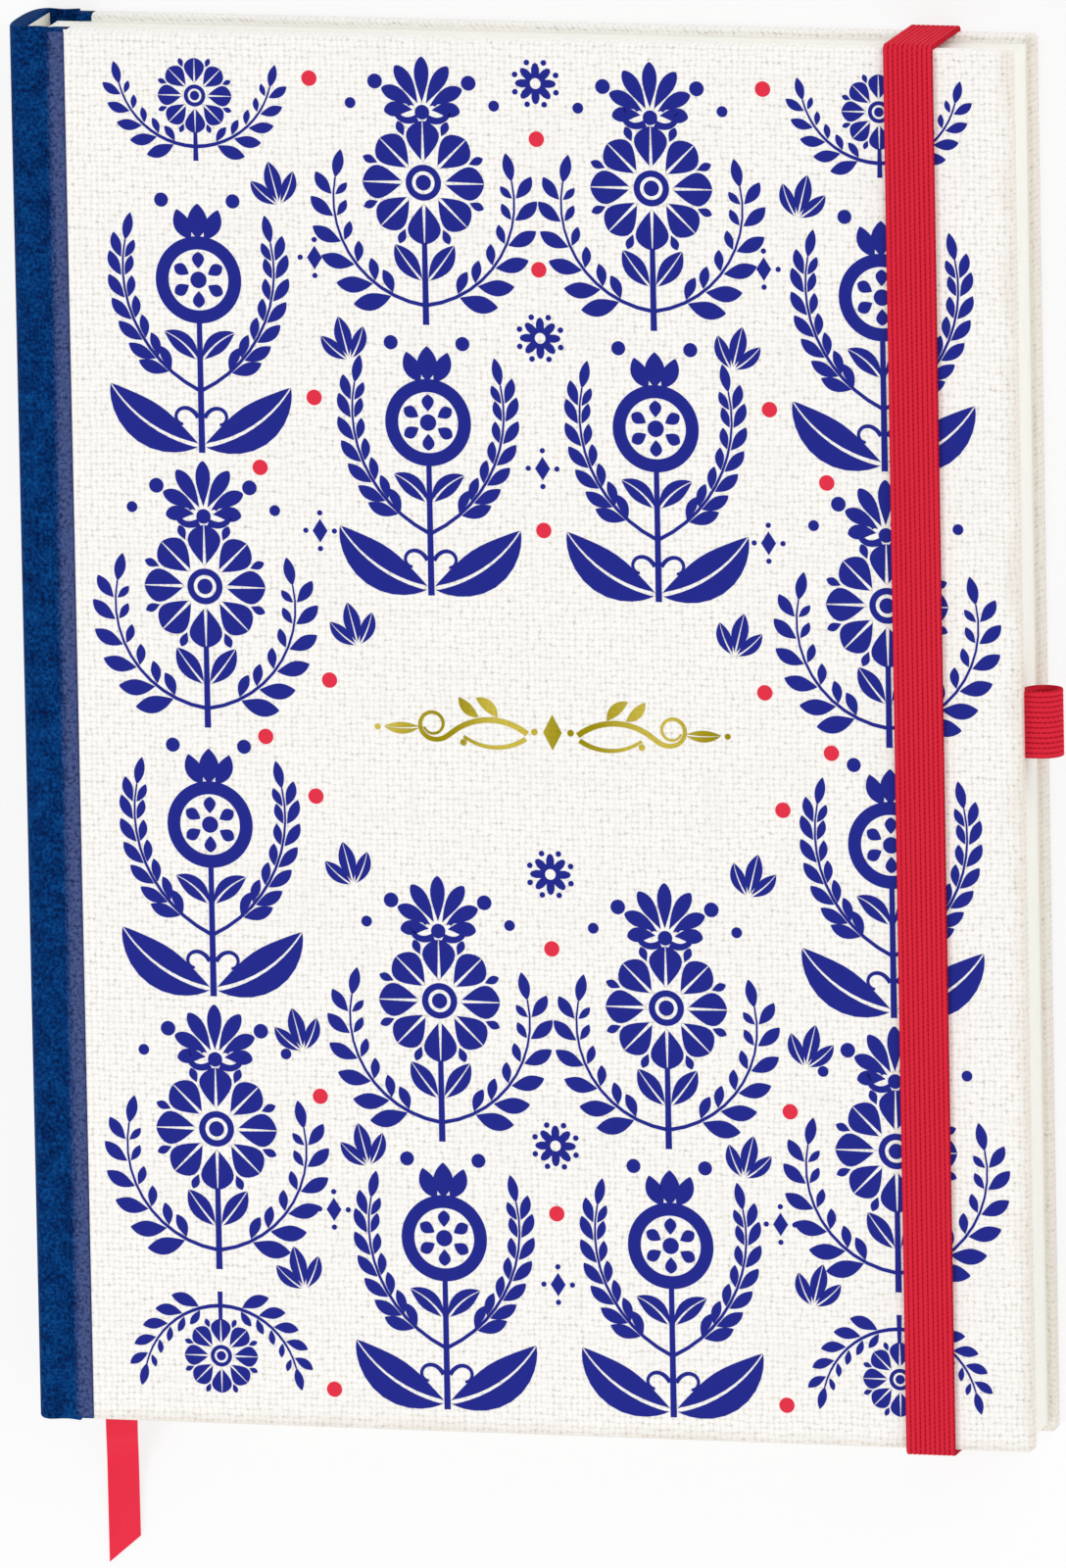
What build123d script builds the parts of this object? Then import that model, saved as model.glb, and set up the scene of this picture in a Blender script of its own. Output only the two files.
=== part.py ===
# A case-bound address book, lying on its back cover, in millimetres.
# X runs from the spine to the fore-edge, Y from the foot to the head and Z up through the front cover.
# The origin is the middle of the back cover's outer face.

import os
from math import radians, tan

from build123d import *

os.makedirs("parts", exist_ok=True)

# Case: two boards, a spine board and the skins on them
cover_width = 157.0  # spine's outermost line to the fore-edge
cover_height = 215.0
book_thickness = 18.0
board_thickness = 2.2
skin_thickness = 0.35  # linen paper and spine cloth
pastedown_thickness = 0.15  # where it lies over the turn-ins
turn_in_width = 14.0
corner_radius = 1.0
spine_depth = 2.9  # spine's outermost line to the hinge lines
spine_bulge = 1.0  # how far the back is rounded
spine_corner_radius = 1.4
spine_turn_in_margin = 2.0  # covers' outer faces to the cloth turned in behind the spine board
hinge_drop = 0.3  # hinge lines, below the covers' outer faces
hinge_gap = 0.1  # slack in the cloth at each hinge line
joint_width = 4.6  # hinge line to the board
joint_valley = 0.9  # depth of the groove in the cloth there
cloth_reach = 9.5  # spine's outermost line to the edge of the linen paper

# Page block
square = 1.2  # how far the covers stand past the pages
spine_hollow = 1.7  # hinge lines to the folds of the sections
block_clearance = 0.05  # pages to each pastedown
section_count = 7
flyleaf_thickness = 0.2
leaf_count = 4
leaf_thickness = 0.35
leaf_gap = 0.05
leaf_setback = 1.2  # folds of the sections to the glued edges of the loose leaves
fold_share = 0.42  # radius of a fold, as a share of its section
thread_thickness = 0.3
thread_width = 1.0
thread_count = 5
thread_span = 170.0
lining_thickness = 0.25
lining_height = 190.0

# Ribbon marker
ribbon_width = 5.0
ribbon_thickness = 0.2
ribbon_gap = 0.3  # room between the two sections that hold it
ribbon_inset = 11.5  # spine's outermost line to the middle of the ribbon
below_ribbon_count = 4  # sections under the ribbon
ribbon_head_margin = 6.0
ribbon_cut = 4.3  # how much longer its spine side is at the slanted end

# Elastic band and its glued ends
band_width = 7.5
band_thickness = 0.9
band_inset = 15.75  # fore-edge to the middle of the band
band_clearance = 0.05
band_corner_radius = 0.15  # inside of its bends
band_split_height = 1.5  # where the free band meets its glued ends
slit_inset = 9.0  # cover's edge to the slit
tab_length = 12.0

# Pen loop
loop_width = 10.2
loop_strip = 0.8
loop_bore = 2.3  # radius
loop_reach = 5.3  # past the fore-edge
loop_tab = 10.0  # glued length, from the fore-edge
loop_clearance = 0.05
loop_height = 4.3  # middle of the loop, up from the middle of the cover

# Worked out: planes and lines that several pieces share
spine_x = -cover_width / 2
fore_x = cover_width / 2
head_y = cover_height / 2
hinge_x = spine_x + spine_depth
board_x = hinge_x + joint_width
paper_x = spine_x + cloth_reach
board_depth = skin_thickness
turn_in_depth = board_depth + board_thickness
paste_depth = turn_in_depth + skin_thickness
cover_depth = paste_depth + pastedown_thickness
block_x = hinge_x + spine_hollow
block_fore_x = fore_x - square
block_head_y = head_y - square
block_bottom = cover_depth + block_clearance
block_top = book_thickness - block_bottom
leaves_depth = leaf_count * (leaf_thickness + leaf_gap) + leaf_gap + flyleaf_thickness
sections_bottom = block_bottom + flyleaf_thickness
sections_top = block_top - leaves_depth
section_thickness = (sections_top - sections_bottom - ribbon_gap) / section_count
ribbon_z = sections_bottom + below_ribbon_count * section_thickness + ribbon_gap / 2
ribbon_x = spine_x + ribbon_inset
band_x = fore_x - band_inset
loop_radius = loop_bore + loop_strip
loop_x = fore_x + loop_reach - loop_radius
tab_depth = paste_depth - loop_strip
loop_z = book_thickness - tab_depth - loop_radius


def face_plane(side, depth):
    """A plane that lies along a cover, this deep under its outer face, with its normal into the book."""
    if side == "back":
        return Plane(origin=(0, 0, depth), x_dir=(1, 0, 0), z_dir=(0, 0, 1))
    return Plane(origin=(0, 0, book_thickness - depth), x_dir=(1, 0, 0), z_dir=(0, 0, -1))


def profile_plane(side):
    """A plane across the book: local X is X, and local Y is the depth under that cover's outer face."""
    if side == "back":
        return Plane(origin=(0, 0, 0), x_dir=(1, 0, 0), z_dir=(0, -1, 0))
    return Plane(origin=(0, 0, book_thickness), x_dir=(1, 0, 0), z_dir=(0, 1, 0))


def slab(side, depth, thickness, low_x, high_x, low_y, high_y, mode=Mode.ADD):
    """A flat block along a cover, added to the part that is being built or cut out of it."""
    with BuildSketch(face_plane(side, depth)) as outline:
        with Locations(((low_x + high_x) / 2, (low_y + high_y) / 2)):
            Rectangle(high_x - low_x, high_y - low_y)
    extrude(outline.sketch, amount=thickness, mode=mode)


def cut_band_tracks():
    """The shallow tracks, slits and tab seats that hold the ends of the elastic band in the back cover."""
    low_x = band_x - band_width / 2 - band_clearance
    high_x = band_x + band_width / 2 + band_clearance
    track = band_thickness + 2 * band_clearance
    slit_y = head_y - slit_inset
    for end in (-1, 1):
        outer = sorted((end * (slit_y - track), end * (head_y + track)))
        slit = sorted((end * (slit_y - track), end * slit_y))
        seat = sorted((end * (slit_y - track - tab_length - band_clearance), end * slit_y))
        slab("back", 0, track, low_x, high_x, *outer, mode=Mode.SUBTRACT)
        slab("back", 0, turn_in_depth, low_x, high_x, *slit, mode=Mode.SUBTRACT)
        slab("back", turn_in_depth - track, track, low_x, high_x, *seat, mode=Mode.SUBTRACT)


def cut_loop_seat():
    """The seat under the front pastedown that holds the glued tab of the pen loop."""
    half = loop_width / 2 + loop_clearance
    low_x = fore_x - loop_tab - loop_clearance
    high_x = fore_x + loop_clearance
    seat_depth = tab_depth - loop_clearance
    seat = paste_depth - seat_depth
    slab("front", seat_depth, seat, low_x, high_x, -loop_height - half, half - loop_height, mode=Mode.SUBTRACT)


def make_board(side):
    """A grey board, rounded a little at its two fore-edge corners."""
    width = fore_x - skin_thickness - board_x
    with BuildPart() as board:
        with BuildSketch(face_plane(side, board_depth)) as outline:
            with Locations((board_x + width / 2, 0)):
                Rectangle(width, cover_height - 2 * skin_thickness)
            fillet(outline.vertices().group_by(Axis.X)[-1], corner_radius)
        extrude(amount=board_thickness)
        if side == "back":
            cut_band_tracks()
        else:
            cut_loop_seat()
    return board


def make_cover_paper(side):
    """Linen paper: one face, three wrapped edges and three turn-ins on the inside of the board."""
    width = fore_x - paper_x
    inner_width = fore_x - turn_in_width - paper_x
    with BuildPart() as paper:
        with BuildSketch(face_plane(side, 0)) as outline:
            with Locations((paper_x + width / 2, 0)):
                Rectangle(width, cover_height)
            fillet(outline.vertices().group_by(Axis.X)[-1], corner_radius + skin_thickness)
        extrude(amount=paste_depth)
        with BuildSketch(face_plane(side, board_depth)) as core:
            with Locations((paper_x + (width - skin_thickness) / 2, 0)):
                Rectangle(width - skin_thickness, cover_height - 2 * skin_thickness)
            fillet(core.vertices().group_by(Axis.X)[-1], corner_radius)
        extrude(amount=board_thickness, mode=Mode.SUBTRACT)
        with BuildSketch(face_plane(side, turn_in_depth)):
            with Locations((paper_x + inner_width / 2, 0)):
                Rectangle(inner_width, cover_height - 2 * turn_in_width)
        extrude(amount=skin_thickness, mode=Mode.SUBTRACT)
        if side == "back":
            cut_band_tracks()
        else:
            cut_loop_seat()
    return paper


def make_joint_cloth(side):
    """The blue cloth from the hinge line over the groove and onto the board, with its turn-ins."""
    start_x = hinge_x + hinge_gap
    middle_x = (start_x + board_x) / 2
    with BuildPart() as cloth:
        with BuildSketch(profile_plane(side)):
            with BuildLine():
                Line((paper_x, 0), (board_x, 0))
                ThreePointArc((board_x, 0), (middle_x, joint_valley), (start_x, hinge_drop))
                Line((start_x, hinge_drop), (start_x, hinge_drop + skin_thickness))
                ThreePointArc(
                    (start_x, hinge_drop + skin_thickness),
                    (middle_x, joint_valley + skin_thickness),
                    (board_x, skin_thickness),
                )
                Line((board_x, skin_thickness), (paper_x, skin_thickness))
                Line((paper_x, skin_thickness), (paper_x, 0))
            make_face()
        extrude(amount=cover_height / 2, both=True)
        for end in (-1, 1):
            wrap = sorted((end * (head_y - skin_thickness), end * head_y))
            turn_in = sorted((end * (head_y - turn_in_width), end * head_y))
            slab(side, 0, paste_depth, board_x, paper_x, *wrap)
            slab(side, turn_in_depth, skin_thickness, board_x, paper_x, *turn_in)
    return cloth


def make_pastedown(side):
    """The endpaper glued inside a cover: thicker in the middle, where it fills the frame of turn-ins."""
    low_x = board_x + square
    high_x = fore_x - square
    half = head_y - square
    inner_half = head_y - turn_in_width
    with BuildPart() as pastedown:
        slab(side, paste_depth, pastedown_thickness, low_x, high_x, -half, half)
        slab(side, turn_in_depth, skin_thickness, low_x, high_x - turn_in_width + square, -inner_half, inner_half)
    return pastedown


def make_leaf(low_x, bottom, thickness):
    """A flat leaf, or a few leaves glued together, as wide and high as the block."""
    with BuildPart() as leaf:
        slab("back", bottom, thickness, low_x, block_fore_x, -block_head_y, block_head_y)
    return leaf


def make_section(bottom):
    """A folded section of pages: round at the fold and square at the fore-edge."""
    width = block_fore_x - block_x
    with BuildPart() as section:
        with BuildSketch(profile_plane("back")) as outline:
            with Locations((block_x + width / 2, bottom + section_thickness / 2)):
                Rectangle(width, section_thickness)
            fillet(outline.vertices().group_by(Axis.X)[0], fold_share * section_thickness)
        extrude(amount=block_head_y, both=True)
    return section


def make_band_end(end):
    """A glued end of the elastic band: round the back cover's edge, along its track and through the slit."""
    outer = band_clearance
    inner = band_clearance + band_thickness
    edge = head_y + band_clearance
    slit_y = head_y - slit_inset - band_clearance
    top = turn_in_depth - band_clearance
    points = [
        (edge, band_split_height),
        (edge + band_thickness, band_split_height),
        (edge + band_thickness, outer),
        (slit_y - band_thickness, outer),
        (slit_y - band_thickness, top - band_thickness),
        (slit_y - band_thickness - tab_length, top - band_thickness),
        (slit_y - band_thickness - tab_length, top),
        (slit_y, top),
        (slit_y, inner),
        (edge, inner),
    ]
    with BuildPart() as band_end:
        with BuildSketch(Plane.YZ.offset(band_x)):
            with BuildLine():
                Polyline(*[(end * y, z) for y, z in points], close=True)
            make_face()
        extrude(amount=band_width / 2, both=True)
    return band_end


def save(piece, name):
    """Labels a finished piece and writes it as the STEP file of its node."""
    piece.part.label = name
    export_step(piece.part, f"parts/{name}.step")


# Covers
for side in ("back", "front"):
    save(make_board(side), f"{side}_board")
    save(make_cover_paper(side), f"{side}_cover_paper")
    save(make_joint_cloth(side), f"{side}_joint_cloth")
    save(make_pastedown(side), f"{side}_pastedown")

# Spine board: flat inside, rounded outside, inside its cloth
cloth_top = book_thickness - hinge_drop
flank_x = spine_x + spine_bulge


def spine_outline(inset):
    """The closed outline of the spine across the book, this far inside the cloth's outer surface."""
    top = cloth_top - inset
    bottom = hinge_drop + inset
    flank = flank_x + inset
    radius = spine_corner_radius - inset
    Line((hinge_x - hinge_gap, bottom), (hinge_x - hinge_gap, top))
    Line((hinge_x - hinge_gap, top), (flank + radius, top))
    RadiusArc((flank + radius, top), (flank, top - radius), -radius)
    ThreePointArc((flank, top - radius), (spine_x + inset, book_thickness / 2), (flank, bottom + radius))
    RadiusArc((flank, bottom + radius), (flank + radius, bottom), -radius)
    Line((flank + radius, bottom), (hinge_x - hinge_gap, bottom))


with BuildPart() as spine_board:
    with BuildSketch(profile_plane("back")):
        with BuildLine():
            spine_outline(skin_thickness)
        make_face()
    extrude(amount=head_y - skin_thickness, both=True)
save(spine_board, "spine_board")

# Spine cloth: round the outside and the two ends of the spine board, and turned in behind it
with BuildPart() as spine_cloth:
    with BuildSketch(profile_plane("back")):
        with BuildLine():
            spine_outline(0)
        make_face()
    extrude(amount=head_y, both=True)
    with BuildSketch(Plane.YZ.offset(hinge_x - hinge_gap)):
        for end in (-1, 1):
            with Locations((end * (head_y - turn_in_width / 2), book_thickness / 2)):
                Rectangle(turn_in_width, book_thickness - 2 * spine_turn_in_margin)
    extrude(amount=skin_thickness)
    add(spine_board.part, mode=Mode.SUBTRACT)
save(spine_cloth, "spine_cloth")

# Page block
save(make_leaf(block_x, block_bottom, flyleaf_thickness), "back_flyleaf")
for number in range(section_count):
    above_ribbon = ribbon_gap if number >= below_ribbon_count else 0
    section_bottom = sections_bottom + number * section_thickness + above_ribbon
    save(make_section(section_bottom), f"section_{number + 1}")

leaf_x = block_x + leaf_setback
for number in range(leaf_count):
    leaf_bottom = block_top - flyleaf_thickness - (number + 1) * (leaf_thickness + leaf_gap)
    save(make_leaf(leaf_x, leaf_bottom, leaf_thickness), f"leaf_{number + 1}")
save(make_leaf(leaf_x, block_top - flyleaf_thickness, flyleaf_thickness), "front_flyleaf")

# Sewing thread: its stitches across the folds
with BuildPart() as sewing_thread:
    with BuildSketch(Plane.YZ.offset(block_x - thread_thickness)):
        with Locations((0, (sections_bottom + sections_top) / 2)):
            with GridLocations(thread_span / (thread_count - 1), 0, thread_count, 1):
                Rectangle(thread_width, sections_top - sections_bottom)
    extrude(amount=thread_thickness)
save(sewing_thread, "sewing_thread")

# Spine lining: gauze over the thread
with BuildPart() as spine_lining:
    with BuildSketch(Plane.YZ.offset(block_x - thread_thickness - lining_thickness)):
        with Locations((0, (sections_bottom + sections_top) / 2)):
            Rectangle(lining_height, sections_top - sections_bottom)
    extrude(amount=lining_thickness)
save(spine_lining, "spine_lining")

# Ribbon marker between two sections, turned to the spine lining near the head
ribbon_top_y = block_head_y - ribbon_head_margin
with BuildPart() as ribbon_inner:
    low_x = ribbon_x - ribbon_width / 2
    high_x = ribbon_x + ribbon_width / 2
    ribbon_bottom = ribbon_z - ribbon_thickness / 2
    slab("back", ribbon_bottom, ribbon_thickness, low_x, high_x, -block_head_y, ribbon_top_y)
    slab("back", ribbon_bottom, ribbon_thickness, block_x, high_x, ribbon_top_y - ribbon_width, ribbon_top_y)
save(ribbon_inner, "ribbon_inner")

# Free end of the ribbon: out of the foot, down past the back cover and along the table, as points of Y and Z
ribbon_route = [
    (-block_head_y, ribbon_z),
    (-block_head_y - 5.0, ribbon_z - 0.35),
    (-block_head_y - 8.3, ribbon_z - 4.25),
    (-block_head_y - 12.0, ribbon_z - 7.95),
    (-block_head_y - 19.8, ribbon_z - 8.6),
    (-block_head_y - 27.5, ribbon_thickness),
]


def route_radii(route):
    """The arc at each corner of a route: 0.45 of its shorter run, over the tangent of half the turn."""
    points = [Vector(*point) for point in route]
    radii = []
    for before, corner, after in zip(points, points[1:], points[2:]):
        arriving = corner - before
        leaving = after - corner
        shorter = min(arriving.length, leaving.length)
        radii.append(0.45 * shorter / tan(radians(arriving.get_angle(leaving) / 2)))
    return radii


ribbon_radii = route_radii(ribbon_route)
ribbon_end_y = ribbon_route[-1][0]
with BuildPart() as ribbon_tail:
    with BuildSketch(Plane.YZ.offset(ribbon_x)):
        with BuildLine() as ribbon_line:
            FilletPolyline(*ribbon_route, radius=ribbon_radii)
        trace(line_width=ribbon_thickness)
    extrude(amount=ribbon_width / 2, both=True)
    with BuildSketch(Plane.XY):
        with BuildLine():
            Polyline(
                (ribbon_x - 1.5 * ribbon_width, ribbon_end_y - ribbon_cut),
                (ribbon_x + 1.5 * ribbon_width, ribbon_end_y + 2 * ribbon_cut),
                (ribbon_x + 1.5 * ribbon_width, ribbon_end_y - ribbon_cut),
                close=True,
            )
        make_face()
    extrude(amount=ribbon_z, both=True, mode=Mode.SUBTRACT)
save(ribbon_tail, "ribbon_tail")
ribbon_length = sum(edge.length for edge in ribbon_line.edges())
print("ribbon radii", [round(radius, 1) for radius in ribbon_radii], "length", round(ribbon_length, 2))

# Elastic band: up the foot edges, along the front cover and down the head edges
run_y = head_y + band_clearance + band_thickness / 2
run_z = book_thickness + band_clearance + band_thickness / 2
with BuildPart() as elastic_band:
    with BuildSketch(Plane.YZ.offset(band_x)):
        with BuildLine():
            FilletPolyline(
                (-run_y, band_split_height),
                (-run_y, run_z),
                (run_y, run_z),
                (run_y, band_split_height),
                radius=band_corner_radius + band_thickness / 2,
            )
        trace(line_width=band_thickness)
    extrude(amount=band_width / 2, both=True)
save(elastic_band, "elastic_band")
save(make_band_end(1), "band_end_head")
save(make_band_end(-1), "band_end_tail")

# Pen loop: a ring of elastic at the fore-edge and its tab under the front pastedown
with BuildPart() as pen_loop:
    with BuildSketch(Plane.XZ.offset(-loop_height)):
        with Locations((loop_x, loop_z)):
            Circle(loop_radius)
        with Locations(((fore_x - loop_tab + loop_x) / 2, loop_z + loop_bore + loop_strip / 2)):
            Rectangle(loop_x - fore_x + loop_tab, loop_strip)
        with Locations((loop_x, loop_z)):
            Circle(loop_bore, mode=Mode.SUBTRACT)
    extrude(amount=loop_width / 2, both=True)
save(pen_loop, "pen_loop")
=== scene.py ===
import math

import bmesh
import bpy
import numpy as np
from mathutils import Matrix, Vector


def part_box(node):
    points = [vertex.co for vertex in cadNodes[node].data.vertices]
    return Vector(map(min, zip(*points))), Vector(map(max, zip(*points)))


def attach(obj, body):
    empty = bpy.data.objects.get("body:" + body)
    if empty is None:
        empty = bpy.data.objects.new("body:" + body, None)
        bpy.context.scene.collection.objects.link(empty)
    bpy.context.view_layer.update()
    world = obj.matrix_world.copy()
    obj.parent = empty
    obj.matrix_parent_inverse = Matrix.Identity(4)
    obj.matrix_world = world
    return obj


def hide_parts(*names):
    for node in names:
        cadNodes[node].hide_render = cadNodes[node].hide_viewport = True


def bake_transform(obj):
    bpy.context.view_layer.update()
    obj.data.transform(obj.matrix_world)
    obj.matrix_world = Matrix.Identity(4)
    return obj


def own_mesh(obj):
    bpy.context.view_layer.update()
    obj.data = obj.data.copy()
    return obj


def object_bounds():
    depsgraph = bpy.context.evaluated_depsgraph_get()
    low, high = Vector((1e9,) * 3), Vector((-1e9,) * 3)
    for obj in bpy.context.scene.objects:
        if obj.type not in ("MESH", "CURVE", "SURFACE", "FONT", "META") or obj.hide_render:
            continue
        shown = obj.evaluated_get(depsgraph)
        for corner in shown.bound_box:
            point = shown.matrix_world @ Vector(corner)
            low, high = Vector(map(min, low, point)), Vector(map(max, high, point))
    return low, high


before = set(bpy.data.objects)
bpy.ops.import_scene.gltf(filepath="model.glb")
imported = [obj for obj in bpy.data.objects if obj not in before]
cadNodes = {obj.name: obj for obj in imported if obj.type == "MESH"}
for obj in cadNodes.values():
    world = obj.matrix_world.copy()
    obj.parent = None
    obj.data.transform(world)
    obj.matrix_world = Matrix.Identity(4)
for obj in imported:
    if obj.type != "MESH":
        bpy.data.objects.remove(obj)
for spare in ("Cube", "Light", "Camera"):  # what a new Blender file starts with
    if spare in bpy.data.objects:
        bpy.data.objects.remove(bpy.data.objects[spare])
cadLow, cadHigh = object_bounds()
mm = 0.001
luck = np.random.default_rng(7)
print("frame loaded,", len(cadNodes), "CAD nodes")

# Planes and lines of the book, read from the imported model
frontLow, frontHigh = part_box("front_cover_paper")
backLow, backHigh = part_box("back_cover_paper")
spineLow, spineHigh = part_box("spine_cloth")
sectionLow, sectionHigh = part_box("section_1")
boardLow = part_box("front_board")[0]
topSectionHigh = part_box("section_7")[1]
midHeight = (frontHigh.z + backLow.z) / 2
headY = frontHigh.y


# The camera, set so that the middle of the front cover falls on its pixel of the photograph
shot = {
    "imageSize": (1088, 1600),
    "coverMiddle": (528.2, 755.8),
    "pixelsPerMm": 6.74,
    "towards": (0.26, 0.2, 1.0),  # from the cover to the camera
    "roll": -1.1,  # degrees
    "distance": 4.5,
    "sensor": 36.0,
}


def makeCamera():
    back = Vector(shot["towards"]).normalized()
    right = Vector((0, 1, 0)).cross(back).normalized()
    turn = Matrix.Rotation(math.radians(shot["roll"]), 3, back)
    right, up = turn @ right, turn @ back.cross(right)
    metresPerPixel = mm / shot["pixelsPerMm"]
    width, height = shot["imageSize"]
    pixelX, pixelY = shot["coverMiddle"]
    offsetX = (width / 2 - pixelX) * metresPerPixel
    offsetY = (height / 2 - pixelY) * metresPerPixel
    middle = Vector(((spineLow.x + frontHigh.x) / 2, 0, frontHigh.z))
    aim = middle + right * offsetX - up * offsetY
    lens = bpy.data.cameras.new("camera")
    lens.sensor_width = shot["sensor"]
    lens.lens = shot["sensor"] * shot["distance"] / (height * metresPerPixel)
    camera = bpy.data.objects.new("camera", lens)
    bpy.context.scene.collection.objects.link(camera)
    axes = Matrix((right, up, back)).transposed().to_4x4()
    camera.matrix_world = Matrix.Translation(aim + back * shot["distance"]) @ axes
    bpy.context.scene.camera = camera


makeCamera()
print("camera placed")


# Shader maths: a wire is an output socket that can stand in sums, and each sum adds its Math node
class Wire:
    def __init__(self, tree, socket):
        self.tree = tree
        self.socket = socket

    def node(self, kind, settings, inputs, output=0):
        # any node by its type: its settings first, then the values or links of its sockets
        made = self.tree.nodes.new("ShaderNode" + kind)
        for name, value in settings.items():
            if name == "stops":
                ramp = made.color_ramp.elements
                while len(ramp) < len(value):
                    ramp.new(1.0)
                for element, (place, colour) in zip(ramp, value):
                    element.position = place
                    element.color = colour
            else:
                setattr(made, name, value)
        for key, value in inputs.items():
            if isinstance(value, Wire):
                self.tree.links.new(value.socket, made.inputs[key])
            else:
                made.inputs[key].default_value = value
        return Wire(self.tree, made.outputs[output])

    def also(self, output):
        return Wire(self.tree, self.socket.node.outputs[output])

    def axes(self):
        # the three parts of a vector
        first = self.node("SeparateXYZ", {}, {0: self}, "X")
        return first, first.also("Y"), first.also("Z")

    def fn(self, operation, *others):
        return self.node("Math", {"operation": operation}, dict(enumerate((self, *others))))

    def swapped(self, operation, other):
        return self.node("Math", {"operation": operation}, {0: other, 1: self})

    def __add__(self, other):
        return self.fn("ADD", other)

    def __radd__(self, other):
        return self.swapped("ADD", other)

    def __sub__(self, other):
        return self.fn("SUBTRACT", other)

    def __rsub__(self, other):
        return self.swapped("SUBTRACT", other)

    def __mul__(self, other):
        return self.fn("MULTIPLY", other)

    def __rmul__(self, other):
        return self.swapped("MULTIPLY", other)

    def __truediv__(self, other):
        return self.fn("DIVIDE", other)

    def wave(self, halfTurns=1):
        # sin(pi halfTurns x)
        return (self * (math.pi * halfTurns)).fn("SINE")

    def noise(self, scale, detail=2.0, roughness=0.5):
        sockets = {"Vector": self, "Scale": scale, "Detail": detail, "Roughness": roughness}
        return self.node("TexNoise", {}, sockets, "Fac")

    def stretched(self, scales):
        # noise on coordinates that each have their own scale
        return self.node("Mapping", {}, {0: self, 3: scales}).noise(1.0)

    def between(self, low, high):
        # 0 at low and 1 at high, eased at both ends
        sockets = {0: self, 1: low, 2: high, 3: 0.0, 4: 1.0}
        return self.node("MapRange", {"interpolation_type": "SMOOTHSTEP"}, sockets)

    def ramp(self, stops):
        return self.node("ValToRGB", {"stops": stops}, {0: self})

    def mix(self, low, high, way="MIX"):
        settings = {"data_type": "RGBA", "blend_type": way}
        return self.node("Mix", settings, {0: self, 6: low, 7: high}, 2)

    def bump(self, depth, strength):
        sockets = {"Height": self, "Distance": depth, "Strength": strength}
        return self.node("Bump", {}, sockets, "Normal")


def paint(red, green, blue):
    # a colour from 0 to 255, as the linear colour that a shader takes
    share = np.array([red, green, blue]) / 255
    linear = np.where(share <= 0.04045, share / 12.92, ((share + 0.055) / 1.055) ** 2.4)
    return (*linear.tolist(), 1.0)


def startFinish(name, source):
    # a new material and the wire of the coordinates that it reads, "Object" or "UV"
    material = bpy.data.materials.new(name)
    material.use_nodes = True
    tree = material.node_tree
    coordinates = tree.nodes.new("ShaderNodeTexCoord")
    return material, Wire(tree, coordinates.outputs[source])


def setShader(material, **values):
    # links or sets the sockets of the material's Principled shader; _ stands for a space
    shader = material.node_tree.nodes["Principled BSDF"]
    for name, value in values.items():
        socket = shader.inputs[name.replace("_", " ")]
        if isinstance(value, Wire):
            material.node_tree.links.new(value.socket, socket)
        else:
            socket.default_value = value
    return material


# Linen paper: a plain weave embossed in off-white paper, with painted shade in the gaps where the
# threads cross
linen = {
    "pitch": 0.93 * mm,
    "wander": 0.9,  # how far the threads stray, in threads
    "jitter": 0.85,  # and how far they shift from one crossing to the next
    "uneven": 0.95,  # how much the gaps differ
    "relief": 0.06 * mm,
    "stops": [  # painted shade: dark in the gaps between the threads, light on their tops
        (0.0, paint(190, 186, 180)),
        (0.2, paint(226, 222, 216)),
        (0.42, paint(248, 245, 240)),
        (0.62, paint(253, 251, 247)),
        (0.9, paint(255, 254, 251)),
    ],
    "streak": paint(243, 239, 234),
    "edge": paint(243, 239, 234),  # painted shade: what the fore-edge and foot take from the colour
    "edgeShadeWidth": 2.8 * mm,
    "edgeShadeOver": 0.3 * mm,  # how far past the edge the painted shade is full
}


def weaveHeight(place):
    # two sets of threads: s = sin(pi u) sin(pi v) says which lies on top, |sin| ** 0.5 rounds each
    across, along, _ = place.axes()
    waves = []
    for part, coarse, fine in ((across, 210.0, 620.0), (along, 170.0, 540.0)):
        wander = (place.noise(coarse) - 0.5) * linen["wander"]
        jitter = (place.noise(fine) - 0.5) * linen["jitter"]
        waves.append((part / linen["pitch"] + (wander + jitter)).wave())
    waveU, waveV = waves
    over = waveU * waveV * 0.5
    warp = waveU.fn("ABSOLUTE").fn("POWER", 0.5) * (0.5 + over)
    weft = waveV.fn("ABSOLUTE").fn("POWER", 0.5) * (0.5 - over)
    return warp.fn("MAXIMUM", weft)


def linenFinish():
    # single threads run darker for a stretch, one way and the other
    material, place = startFinish("linenPaper", "UV")
    height = weaveHeight(place)
    uneven = place.noise(900.0, 3.0)
    # painted shade: colour from the weave's height, dark in its gaps and light on the thread tops
    lit = (height + (uneven - 0.5) * linen["uneven"]).ramp(linen["stops"])
    upright = place.stretched((700.0, 60.0, 1.0)).between(0.5, 0.78)
    flat = place.stretched((60.0, 700.0, 1.0)).between(0.5, 0.78)
    slub = place.noise(90.0, 4.0).between(0.3, 0.75)
    colour = (upright.fn("MAXIMUM", flat) * 0.36 + slub * 0.1).mix(lit, linen["streak"])
    across, along, _ = place.axes()
    # painted shade: the colour darkens towards the fore-edge and the foot
    near = (across - frontHigh.x).fn("MAXIMUM", -headY - along)  # below 0 inside the outline
    stray = (slub - 0.5) * linen["edgeShadeWidth"] * 0.5
    edgeShade = (near + stray).between(-linen["edgeShadeWidth"], linen["edgeShadeOver"])
    relief = height + uneven * 0.35
    return setShader(
        material,
        Base_Color=edgeShade.mix(colour, linen["edge"], "MULTIPLY"),
        Roughness=0.78 - height * 0.12,
        Normal=relief.bump(linen["relief"], 0.6),
        Specular_IOR_Level=0.08,
    )
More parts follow.
